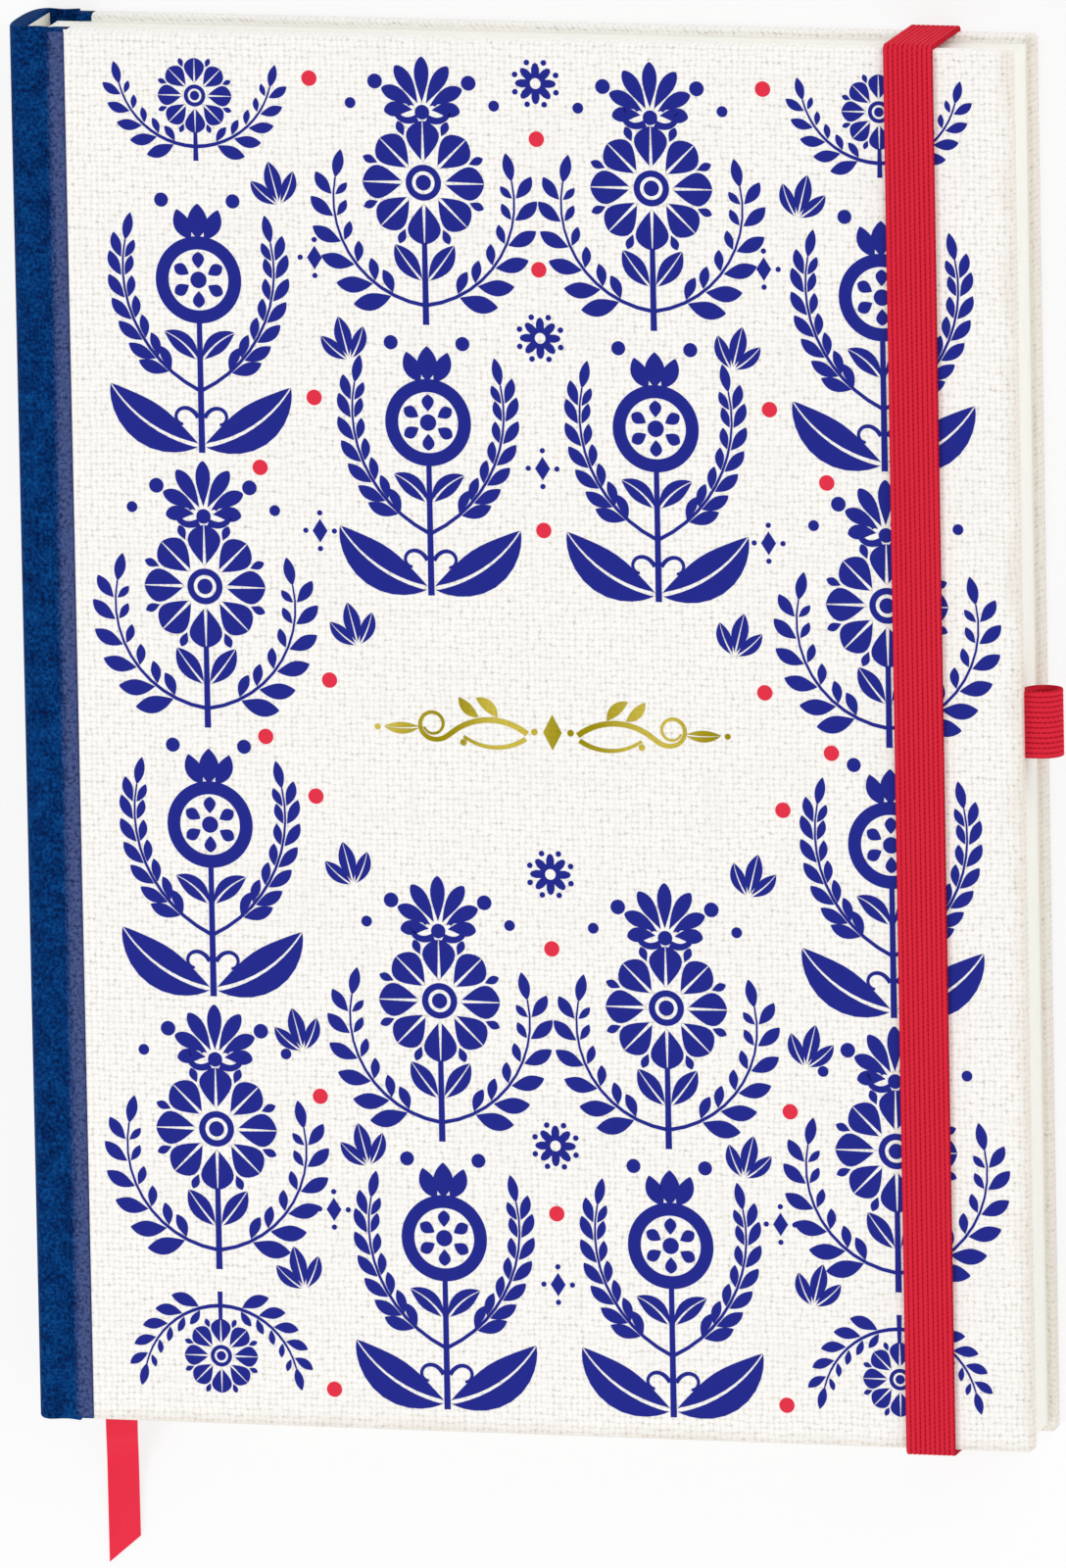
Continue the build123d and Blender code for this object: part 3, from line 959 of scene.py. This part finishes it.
def makePageBlock():
    # each sheet has three levels, and the fold of a section draws its spine side in
    low = np.array([sectionLow.x, sectionLow.y])
    high = np.array([sectionHigh.x, sectionHigh.y])
    bottom, top = sectionLow.z, topSectionHigh.z
    count = block["sections"] * block["sheetsPerSection"]
    pitch = (top - bottom) / count
    starts = bottom + pitch * np.arange(count)
    heights = (starts[:, None] + pitch * np.array(block["levels"])).ravel()
    stray = luck.uniform(0, block["uneven"], count)
    inset = np.stack([block["notch"] + stray * 0.5, stray, stray], axis=1).ravel()
    half = (high[0] - low[0]) / 2
    heights = np.concatenate([[bottom, bottom], heights[1:], [top, top]])
    inset = np.concatenate([[half, block["rim"]], inset[1:], [block["rim"], half]])
    outline = roundedOutline(low, high, [0, 0, 0, 0], inset, 2)
    radius = block["foldRadius"]
    halfSection = (top - bottom) / block["sections"] / 2
    offMiddle = np.abs(np.mod(heights - bottom, 2 * halfSection) - halfSection)
    bite = np.clip(offMiddle - halfSection + radius, 0, radius)
    fold = radius - np.sqrt(radius ** 2 - bite ** 2)
    atSpine = outline[..., 0] < low[0] + block["spineSide"]
    outline[..., 0] += np.where(atSpine, fold[:, None] * block["foldShare"], 0.0)
    piece = addPiece("pageBlock", [(raised(outline, heights), outline)], blockFinish())
    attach(piece, "back_cover")
    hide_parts(*[f"section_{number}" for number in range(1, block["sections"] + 1)])


makePageBlock()
print("page block made")


# Flyleaf and loose leaves: thin flat sheets from the gutter to the fore-edge
leaves = {
    "bow": 187.0 * mm,  # a leaf turns half way at the gutter, and all the way this far out
    "columns": 40,
    "crowding": 1.5,  # columns lie closer together near the gutter
    "rows": 9,
}


def makeLeaf(name, node, finish):
    # a thin ring of height and thickness carried from the gutter to the fore-edge
    low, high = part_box(node)
    x = low.x + (high.x - low.x) * np.linspace(0, 1, leaves["columns"]) ** leaves["crowding"]
    path = spread(x, 0.0, (low.z + high.z) / 2)
    outward = np.broadcast_to([0.0, 0.0, 1.0], path.shape)
    rowY = np.linspace(low.y, high.y, leaves["rows"])
    over = spread(rowY, (high.z - low.z) / 2)
    ring = np.concatenate([over, over[::-1] * [1, -1], over[:1]])
    grid, uv = carryRing(path, (0, 1, 0), outward, ring, ring[:, 0], x)
    piece = addPiece(name, [(grid, uv[..., ::-1])], finish)
    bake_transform(piece)
    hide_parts(node)


ruledLeaf = leafFinish()
makeLeaf("frontFlyleaf", "front_flyleaf", endpaperSheet)
for number in range(1, 5):
    makeLeaf(f"ruledLeaf{number}", f"leaf_{number}", ruledLeaf)
print("leaves made")


# Elastic strips: a ribbed ring carried along a bent path
strip = {"pointsPerRib": 10, "sharpest": 50.0}
band = {
    "ribs": 10,
    "groove": 0.09 * mm,
    "bend": 0.62 * mm,
    "gap": 0.05 * mm,  # between the front cover and the band
    "backProud": 0.08 * mm,
    "slit": 9.5 * mm,  # from head and tail to the slits in the back cover
    "short": 0.3 * mm,  # how far an end stops below the top of its solid
    "keep": 0.062,  # of the height, once released
    "legSteps": 8,
    "runSteps": 61,
    "endSteps": 9,
    "bendSteps": 9,
}
loop = {
    "ribs": 13,
    "groove": 0.08 * mm,
    "thickness": 0.8 * mm,
    "sweep": 319.0,  # degrees
    "tabSteps": 9,
    "turnSteps": 49,
}


def ribbedRing(width, thickness, shape):
    # outer face: thickness / 2 less a groove at each whole rib; the inner face is flat
    ribs = shape["ribs"]
    count = np.linspace(0, ribs, ribs * strip["pointsPerRib"] + 1)
    face = thickness / 2 - shape["groove"] * (1 - np.abs(np.sin(np.pi * count)) ** 0.6)
    outer = spread((count / ribs - 0.5) * width, face)
    under = np.array([[width / 2, -thickness / 2], [-width / 2, -thickness / 2]])
    ring = np.concatenate([outer, under, outer[:1]])
    return ring, np.concatenate([count, [ribs, 0, 0]])


def makeStrip(name, path, outward, across, width, thickness, shape, finish):
    ring, ringU = ribbedRing(width, thickness, shape)
    grid = carryRing(path, across, outward, ring, ringU, runLength(path))
    return addPiece(name, [grid], finish, strip["sharpest"])


def bentLine(start, side, runs):
    # straight runs of (length, steps) with a quarter turn of the bend's radius between each two,
    # to the left for side 1; gives the points and which way the outer face looks at each
    place, facing = np.array(start), 0.0
    points, angles = [], []
    for number, (length, steps) in enumerate(runs):
        if number:
            bend = facing + side * np.linspace(0, 90, band["bendSteps"])
            centre = place - aside(band["bend"], facing)
            points.append(centre + aside(band["bend"], bend[1:-1]))
            angles.append(bend[1:-1])
            facing = bend[-1]
            place = centre + aside(band["bend"], facing)
        run = np.linspace(0, length, steps)[:, None]
        points.append(place + run * aside(1.0, facing + 90 * side))
        angles.append(np.full(steps, facing))
        place = points[-1][-1]
    return np.concatenate(points), aside(1.0, np.concatenate(angles))


def makeBand(finish):
    # up one side, over the front cover and down the other, with small round bends
    low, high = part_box("elastic_band")
    thickness = high.z - frontHigh.z - band["gap"]
    middleX = (low.x + high.x) / 2
    sideY = high.y - thickness / 2
    leg = (high.z - thickness / 2 - band["bend"] - low.z, band["legSteps"])
    over = (2 * (sideY - band["bend"]), band["runSteps"])
    line, face = bentLine((sideY, low.z), 1, [leg, over, leg])
    path = spread(middleX, line[:, 0], line[:, 1])
    outward = spread(0.0, face[:, 0], face[:, 1])
    piece = makeStrip("elasticBand", path, outward, (1, 0, 0), high.x - low.x, thickness, band, finish)
    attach(piece, "elastic_band")
    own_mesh(piece)
    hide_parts("elastic_band")
    return thickness


def makeBandEnd(name, node, end, thickness, finish):
    # down the edge of the back cover, along its face and up into the slit
    low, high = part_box(node)
    sideY = max(abs(low.y), abs(high.y)) - thickness / 2
    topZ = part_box("elastic_band")[0].z
    bendZ = thickness / 2 - band["backProud"] + band["bend"]
    down = (topZ - bendZ, 2)
    along = (sideY - headY + band["slit"] - 2 * band["bend"], band["endSteps"])
    up = (high.z - band["short"] - bendZ, 2)
    line, face = bentLine((sideY, topZ), -1, [down, along, up])
    path = spread((low.x + high.x) / 2, end * line[:, 0], line[:, 1])
    outward = spread(0.0, end * face[:, 0], face[:, 1])
    piece = makeStrip(name, path, outward, (1, 0, 0), high.x - low.x, thickness, band, finish)
    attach(piece, "back_cover")
    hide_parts(node)


def makePenLoop(finish):
    # a tab under the cover's lining, then almost a full turn down and back to the cover's edge
    low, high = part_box("pen_loop")
    thickness = loop["thickness"]
    tabZ = high.z - thickness / 2
    outerRadius = (high.z - low.z) / 2
    radius = outerRadius - thickness / 2
    centre = (high.x - outerRadius, tabZ - radius)
    tabX = np.linspace(low.x, centre[0], loop["tabSteps"])[:-1]
    angle = np.linspace(90, 90 - loop["sweep"], loop["turnSteps"])
    line = np.concatenate([spread(tabX, tabZ), centre + aside(radius, angle)])
    face = aside(1.0, np.concatenate([np.full_like(tabX, 90), angle]))
    path = spread(line[:, 0], (low.y + high.y) / 2, line[:, 1])
    outward = spread(face[:, 0], 0.0, face[:, 1])
    piece = makeStrip("penLoop", path, outward, (0, 1, 0), high.y - low.y, thickness, loop, finish)
    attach(piece, "front_cover")
    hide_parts("pen_loop")


elasticRed = elasticFinish()
bandThickness = makeBand(elasticRed)
makeBandEnd("bandEndHead", "band_end_head", 1, bandThickness, elasticRed)
makeBandEnd("bandEndTail", "band_end_tail", -1, bandThickness, elasticRed)
makePenLoop(elasticRed)
print("elastic made")


# Cover print: flat shapes of ink, each a band between a left and a right edge, in mm on the front cover
ink = {
    "rise": 0.03,  # above the paper
    "sink": 0.02,  # into it
    "step": 0.016,  # most that one shape stands over another
    "middleX": 4.75,  # of the linen
    "columnGap": 35.5,
    "rowGap": 42.0,
    "blue": paint(33, 40, 140),
    "blueWorn": paint(66, 74, 158),
    "red": paint(229, 50, 73),
    "redWorn": paint(236, 96, 112),
    "sprays": (  # out from the middle, and up
        (30.0, 61.0), (29.5, 17.0), (31.0, -20.0), (29.5, -63.5),
        (40.5, 84.5), (39.5, -46.0), (40.0, -83.0),
    ),
    "dotRadius": 1.2,
    "dots": (  # out from a column's edge, and up
        (0.0, 52.0), (-1.5, 8.5), (1.0, -9.5), (1.3, -56.0),
        (-0.2, 101.0), (0.0, -101.5), (8.7, 41.0), (8.7, -0.5),
    ),
    "ornament": (5.5, 1.4),  # middle of the gilt divider
}


def inkLine(start, heading, length, curl, steps, power=1.0, eased=False):
    # a line whose heading turns by curl t ** power; gives its points, its normals and t from 0 to 1
    t = np.linspace(0, 1, steps)
    if eased:
        t = (1 - np.cos(np.pi * t)) / 2  # closer together at both ends
    halfWay = (t[1:] + t[:-1]) / 2
    strides = aside(length, heading + curl * halfWay ** power) * np.diff(t)[:, None]
    points = np.asarray(start) + np.concatenate([[(0.0, 0.0)], np.cumsum(strides, axis=0)])
    return points, aside(1.0, heading + curl * t ** power + 90), t


def inkLeaf(start, heading, length, width, curl=0.0, belly=1.0, vein=0.0, full=0.8):
    # half width = width / 2 sin(pi t ** belly) ** full; a vein is a bare line along the middle
    points, normals, t = inkLine(start, heading, length, curl, 15, eased=True)
    half = width / 2 * np.sin(np.pi * t ** belly).clip(0) ** full
    sides = [(half, -half)]
    if vein:
        gap = np.minimum(half, vein / 2 * (1 - 0.7 * t))
        sides = [(half, gap), (-gap, -half)]
    return [
        (points + left[:, None] * normals, points + right[:, None] * normals, False)
        for left, right in sides
    ]


def inkStem(start, heading, length, width, curl=0.0, taper=0.5, power=1.0, steps=16):
    # half width = width / 2 (1 - taper t)
    points, normals, t = inkLine(start, heading, length, curl, steps, power)
    half = (width / 2 * (1 - taper * t))[:, None] * normals
    return [(points + half, points - half, False)]


def inkDisc(centre, radius, inner=0.0, points=0, dent=0.0, steps=21):
    # outer edge r = radius (1 - dent + dent |cos(points a / 2)|); inner is the bare share of the middle
    angle = np.linspace(0, 2 * np.pi, steps)
    ray = spread(np.cos(angle), np.sin(angle))
    edge = radius * (1 - dent + dent * np.abs(np.cos(points * angle / 2)))
    middle = np.asarray(centre, float)
    return [(middle + edge[:, None] * ray, middle + inner * radius * ray, True)]


def inkLozenge(centre, width, height):
    # half width = width / 2 (1 - |2 t - 1|)
    t = np.linspace(0, 1, 5)
    points = np.asarray(centre) + spread(0.0, (t - 0.5) * height)
    half = spread(width / 2 * (1 - np.abs(2 * t - 1)), 0.0)
    return [(points - half, points + half, False)]


def moved(bands, x, y, turn=0.0, size=1.0, flip=1.0):
    cosine, sine = aside(1.0, turn)
    matrix = size * np.array([[cosine * flip, sine * flip], [-sine, cosine]])
    return [(left @ matrix + (x, y), right @ matrix + (x, y), closed) for left, right, closed in bands]


def mirrored(bands):
    return bands + moved(bands, 0, 0, flip=-1.0)


def rosette(radius):
    # eight petals round a ringed eye, with a grain between each two
    bands = inkDisc((0, 0), 0.13 * radius, steps=25) + inkDisc((0, 0), 0.3 * radius, 0.64, steps=37)
    for turn in np.arange(8) * 45.0:
        foot = aside(0.35 * radius, turn)
        bands += inkLeaf(foot, turn, 0.68 * radius, 0.56 * radius, 0, 1.55, 0.06 * radius, 0.6)
        foot = aside(0.84 * radius, turn + 22.5)
        bands += inkLeaf(foot, turn + 22.5, 0.26 * radius, 0.14 * radius, 0, 1.3)
    return bands


def palmette(size):
    # a fan of seven petals, the middle one longest, on two scrolls
    bands = []
    for turn in np.arange(-3, 4) * 26.0:
        foot = aside(0.2 * size, 90 + turn)
        length = size * (0.5 + 0.42 * math.cos(math.radians(turn)))
        bands += inkLeaf(foot, 90 + turn, length, 0.3 * size, turn * 0.4, 1.6, 0.0, 0.62)
    bands += inkDisc((0, 0), 0.15 * size, steps=17)
    scroll = inkStem((0.1 * size, -0.12 * size), -25, 1.0 * size, 0.15 * size, 270, 0.5, 1.5)
    return bands + mirrored(scroll)


def pomegranate(radius):
    # a ripe fruit: thick skin, seven seeds, a crown of three points
    bands = inkDisc((0, 0), radius, 0.7, steps=57) + inkDisc((0, 0), 0.19 * radius, steps=25)
    for turn in np.arange(6) * 60.0 + 30:
        foot = aside(0.26 * radius, turn)
        bands += inkLeaf(foot, turn, 0.38 * radius, 0.28 * radius, 0, 1.3, 0.0, 0.7)
    bands += inkLeaf((0, 0.95 * radius), 90, 0.8 * radius, 0.46 * radius)
    point = inkLeaf((0.16 * radius, 0.94 * radius), 52, 0.75 * radius, 0.38 * radius, 25)
    return bands + mirrored(point)


def feathered(start, heading, length, curl, pairs, spreading, leafLength, leafWidth, shrink, inner=1.0):
    # a curved stem with pairs of leaflets that shrink towards its tip, and inside the curve
    # by a share of their own
    points, normals, _ = inkLine(start, heading, length, curl, 41)
    bands = inkStem(start, heading, length, 0.6, curl, 0.6, steps=12)
    for share in np.linspace(0.2, 0.92, pairs):
        index = int(share * 40)
        for sign, part in ((1, inner), (-1, 1.0)):
            scale = (1 - shrink * share) * part
            foot = points[index] + sign * normals[index] * 0.3
            turn = heading + curl * share + sign * spreading
            bands += inkLeaf(foot, turn, leafLength * scale, leafWidth * scale, -sign * 20, 1.15)
    scale = 1 - shrink
    return bands + inkLeaf(points[-1], heading + curl, leafLength * scale * 1.1, leafWidth * scale)


def rosettePlant():
    # a rosette under a palmette, held by two fern fronds
    bands = moved(rosette(9.2), 0, 1.4) + moved(palmette(7.6), 0, 12.2)
    bands += inkStem((0, -20.4), 90, 12.6, 1.0, 0, 0.2)
    side = feathered((0.2, -17.4), 8, 26.5, 94, 6, 50, 6.6, 2.9, 0.4, 0.62)
    side += inkLeaf((0.5, -13.6), 48, 6.8, 3.2, 10, 1.1, 0.4)
    side += inkDisc((7.3, 16.8), 1.15, steps=17) + inkDisc((11.2, 13.4), 0.85, steps=15)
    return bands + mirrored(side)


def pomegranatePlant():
    # a pomegranate between two ears of wheat, over two broad leaves
    bands = moved(pomegranate(6.7), 0, 6.6) + inkStem((0, -20.0), 90, 20.4, 1.0, 0, 0.2)
    side = feathered((0.2, -10.4), 26, 27.5, 76, 7, 32, 5.2, 2.1, 0.25, 0.78)
    side += inkLeaf((0.4, -18.9), 10, 17.0, 6.6, 48, 1.0, 0.7)
    side += inkLeaf((0.5, -5.6), 58, 6.6, 3.0, -36, 1.0, 0.4)
    side += inkStem((0.5, -14.6), 60, 6.6, 0.7, -240, 0.4, 1.5) + inkDisc((5.6, 18.8), 1.1, steps=17)
    return bands + mirrored(side)


def cornerPlant():
    # a small rosette with two sprays
    bands = moved(rosette(5.6), 0, 1.4)
    side = feathered((0.2, -6.4), 2, 16.0, 74, 5, 48, 4.9, 2.1, 0.35, 0.6)
    return bands + mirrored(side) + inkStem((0, -8.6), 90, 4.4, 0.8, 0, 0.3)


def starSpot(radius):
    # an eight-pointed star in a ring of dots
    bands = inkDisc((0, 0), radius, 0.26, 8, 0.5, 49)
    for turn in np.arange(8) * 45.0 + 22.5:
        bands += inkDisc(aside(radius * 1.08, turn), 0.14 * radius, steps=11)
    return bands


def lozengeSpot(size):
    # a lozenge with a dot off each of its points
    bands = inkLozenge((0, 0), 0.9 * size, 1.4 * size)
    for turn, reach in ((0, 0.86), (90, 1.06), (180, 0.86), (270, 1.06)):
        bands += inkDisc(aside(reach * size, turn), 0.16 * size, steps=13)
    return bands


def sprayed(size):
    # three veined leaves from one foot
    vein = 0.05 * size
    side = inkLeaf((0.06 * size, -0.06 * size), 44, 0.85 * size, 0.36 * size, 22, 1.1, vein)
    return inkLeaf((0, 0), 90, size, 0.42 * size, 0, 1.1, vein) + mirrored(side)


def blueShapes():
    # plants in half-drop columns with the middle of the cover left bare, and small spots between them
    middle, step, row = ink["middleX"], ink["columnGap"], ink["rowGap"]
    rosettes, fruits = rosettePlant(), pomegranatePlant()
    bands = []
    for sign in (-1, 1):
        inner, outer = middle + sign * step / 2, middle + sign * step * 1.5
        for count, plant in ((2, rosettes), (1, fruits), (-1, rosettes), (-2, fruits)):
            bands += moved(plant, inner, row * count)
        for count, plant in ((1.5, fruits), (0.5, rosettes), (-0.5, fruits), (-1.5, rosettes)):
            bands += moved(plant, outer, row * count)
        bands += moved(cornerPlant(), outer, 96.5) + moved(cornerPlant(), outer, -95.5, 180)
        for y in (31.5, 73.5, -73.5):
            bands += moved(lozengeSpot(2.6), middle + sign * (step - 0.5), y)
        for x, y in ink["sprays"]:
            bands += moved(sprayed(6.2), middle + sign * x, y - 2.5, -sign * 14)
    for y in (62.0, -62.5, 101.0, -20.5):
        bands += moved(starSpot(3.2), middle, y)
    for y in (42.0, -84.0):
        bands += moved(lozengeSpot(2.6), middle, y)
    return bands


def redShapes():
    middle, step = ink["middleX"], ink["columnGap"]
    bands = []
    for sign in (-1, 1):
        for x, y in ink["dots"]:
            bands += inkDisc((middle + sign * (step + x), y), ink["dotRadius"])
    for y in (72.5, 32.5, -32.0, -73.0, 92.5):
        bands += inkDisc((middle, y), ink["dotRadius"])
    return bands


def dividerShapes():
    # a lozenge between two scrolls that end in leaves
    bands = inkLozenge((0, 0), 3.4, 6.4)
    side = inkDisc((3.3, 0), 0.6, steps=15)
    side += inkStem((4.6, -0.4), 38, 15.0, 1.05, -78, 0.1)
    tip = inkLine((4.6, -0.4), 38, 15.0, -78, 16)[0][-1]
    side += inkStem(tip, -40, 19.0, 0.95, 470, 0.6, 1.35, 34)
    side += inkStem((4.9, -1.3), -34, 12.0, 0.9, 70, 0.4) + inkDisc((16.2, -2.2), 0.6, steps=13)
    side += inkLeaf((10.0, 2.4), 62, 5.2, 2.0, -40) + inkLeaf((13.4, 2.4), 28, 5.0, 1.9, 34)
    side += inkLeaf((24.2, 0.3), -8, 6.4, 2.1, 16, 1.0, 0.3) + inkDisc((31.8, 0.2), 0.55, steps=13)
    return moved(bands + mirrored(side), *ink["ornament"], size=0.86)


def makePrint(name, bands, finish):
    # each band becomes a thin closed solid: its four corners carried along, drawn together at open ends
    grids = []
    for left, right, closed in bands:
        flat = np.stack([left, left, right, right, left], axis=1) * mm
        level = luck.uniform(0.0, ink["step"]) + ink["step"] * np.linspace(0, not closed, len(flat))
        top, bottom = ink["rise"] + level, np.full(len(flat), -ink["sink"])
        heights = frontHigh.z + np.stack([bottom, top, top, bottom, bottom], axis=1) * mm
        points = spread(flat[..., 0], flat[..., 1], heights)
        if not closed:
            points = capped(points, corners=4)
        grids.append((points, points[..., :2]))
    piece = addPiece(name, grids, finish)
    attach(piece, "front_cover")


makePrint("bluePrint", blueShapes(), inkFinish("blueInk", ink["blue"], ink["blueWorn"]))
makePrint("redPrint", redShapes(), inkFinish("redInk", ink["red"], ink["redWorn"]))
makePrint("goldDivider", dividerShapes(), foilFinish())


# Floor, light and surroundings
studio = {
    "floorDrop": 0.4 * mm,
    "floorSize": 12.0,
    "floorColour": paint(250, 250, 250),
    "whiteShare": 0.8,  # of the floor, as the camera sees it, that is plain white
    "skyLight": 0.67,
    "lamps": [  # place, size and power
        ((-0.85, -0.8, 1.5), 0.9, 10.5),
        ((1.3, 1.2, 0.75), 1.4, 12.0),
    ],
}


def seenRays(tree):
    # 1 for rays from the camera, from gloss and through glass
    rays = Wire(tree, tree.nodes.new("ShaderNodeLightPath").outputs["Is Camera Ray"])
    return rays.fn("MAXIMUM", rays.also("Is Glossy Ray")).fn("MAXIMUM", rays.also("Is Transmission Ray"))


def makeFloor():
    side = np.linspace(-studio["floorSize"], studio["floorSize"], 3)
    points = spread(side[None, :], side[:, None], cadLow.z - studio["floorDrop"])
    floorPaint = bpy.data.materials.new("paleFloor")
    floorPaint.use_nodes = True
    tree = floorPaint.node_tree
    setShader(floorPaint, Base_Color=studio["floorColour"], Roughness=0.9, Specular_IOR_Level=0.1)
    plain = Wire(tree, tree.nodes["Principled BSDF"].outputs[0])
    glow = plain.node("Emission", {}, {"Color": (1, 1, 1, 1), "Strength": 1.0})
    white = seenRays(tree) * studio["whiteShare"]
    mixed = plain.node("MixShader", {}, {0: white, 1: plain, 2: glow})
    tree.links.new(mixed.socket, tree.nodes["Material Output"].inputs["Surface"])
    addPiece("floor", [(points, points[..., :2])], floorPaint)


def makeStudio():
    makeFloor()
    world = bpy.data.worlds.new("whiteRoom")
    world.use_nodes = True
    bpy.context.scene.world = world
    sky = world.node_tree.nodes["Background"]
    strength = studio["skyLight"] + seenRays(world.node_tree) * (1.0 - studio["skyLight"])
    world.node_tree.links.new(strength.socket, sky.inputs["Strength"])
    sky.inputs["Color"].default_value = (1, 1, 1, 1)
    for number, (place, width, power) in enumerate(studio["lamps"]):
        lamp = bpy.data.lights.new(f"softLamp{number}", "AREA")
        lamp.size = width
        lamp.energy = power
        holder = bpy.data.objects.new(f"softLamp{number}", lamp)
        bpy.context.scene.collection.objects.link(holder)
        holder.location = place
        holder.rotation_euler = Vector(place).to_track_quat("Z", "Y").to_euler()
    bpy.context.scene.view_settings.view_transform = "Standard"


makeStudio()
print("studio made")
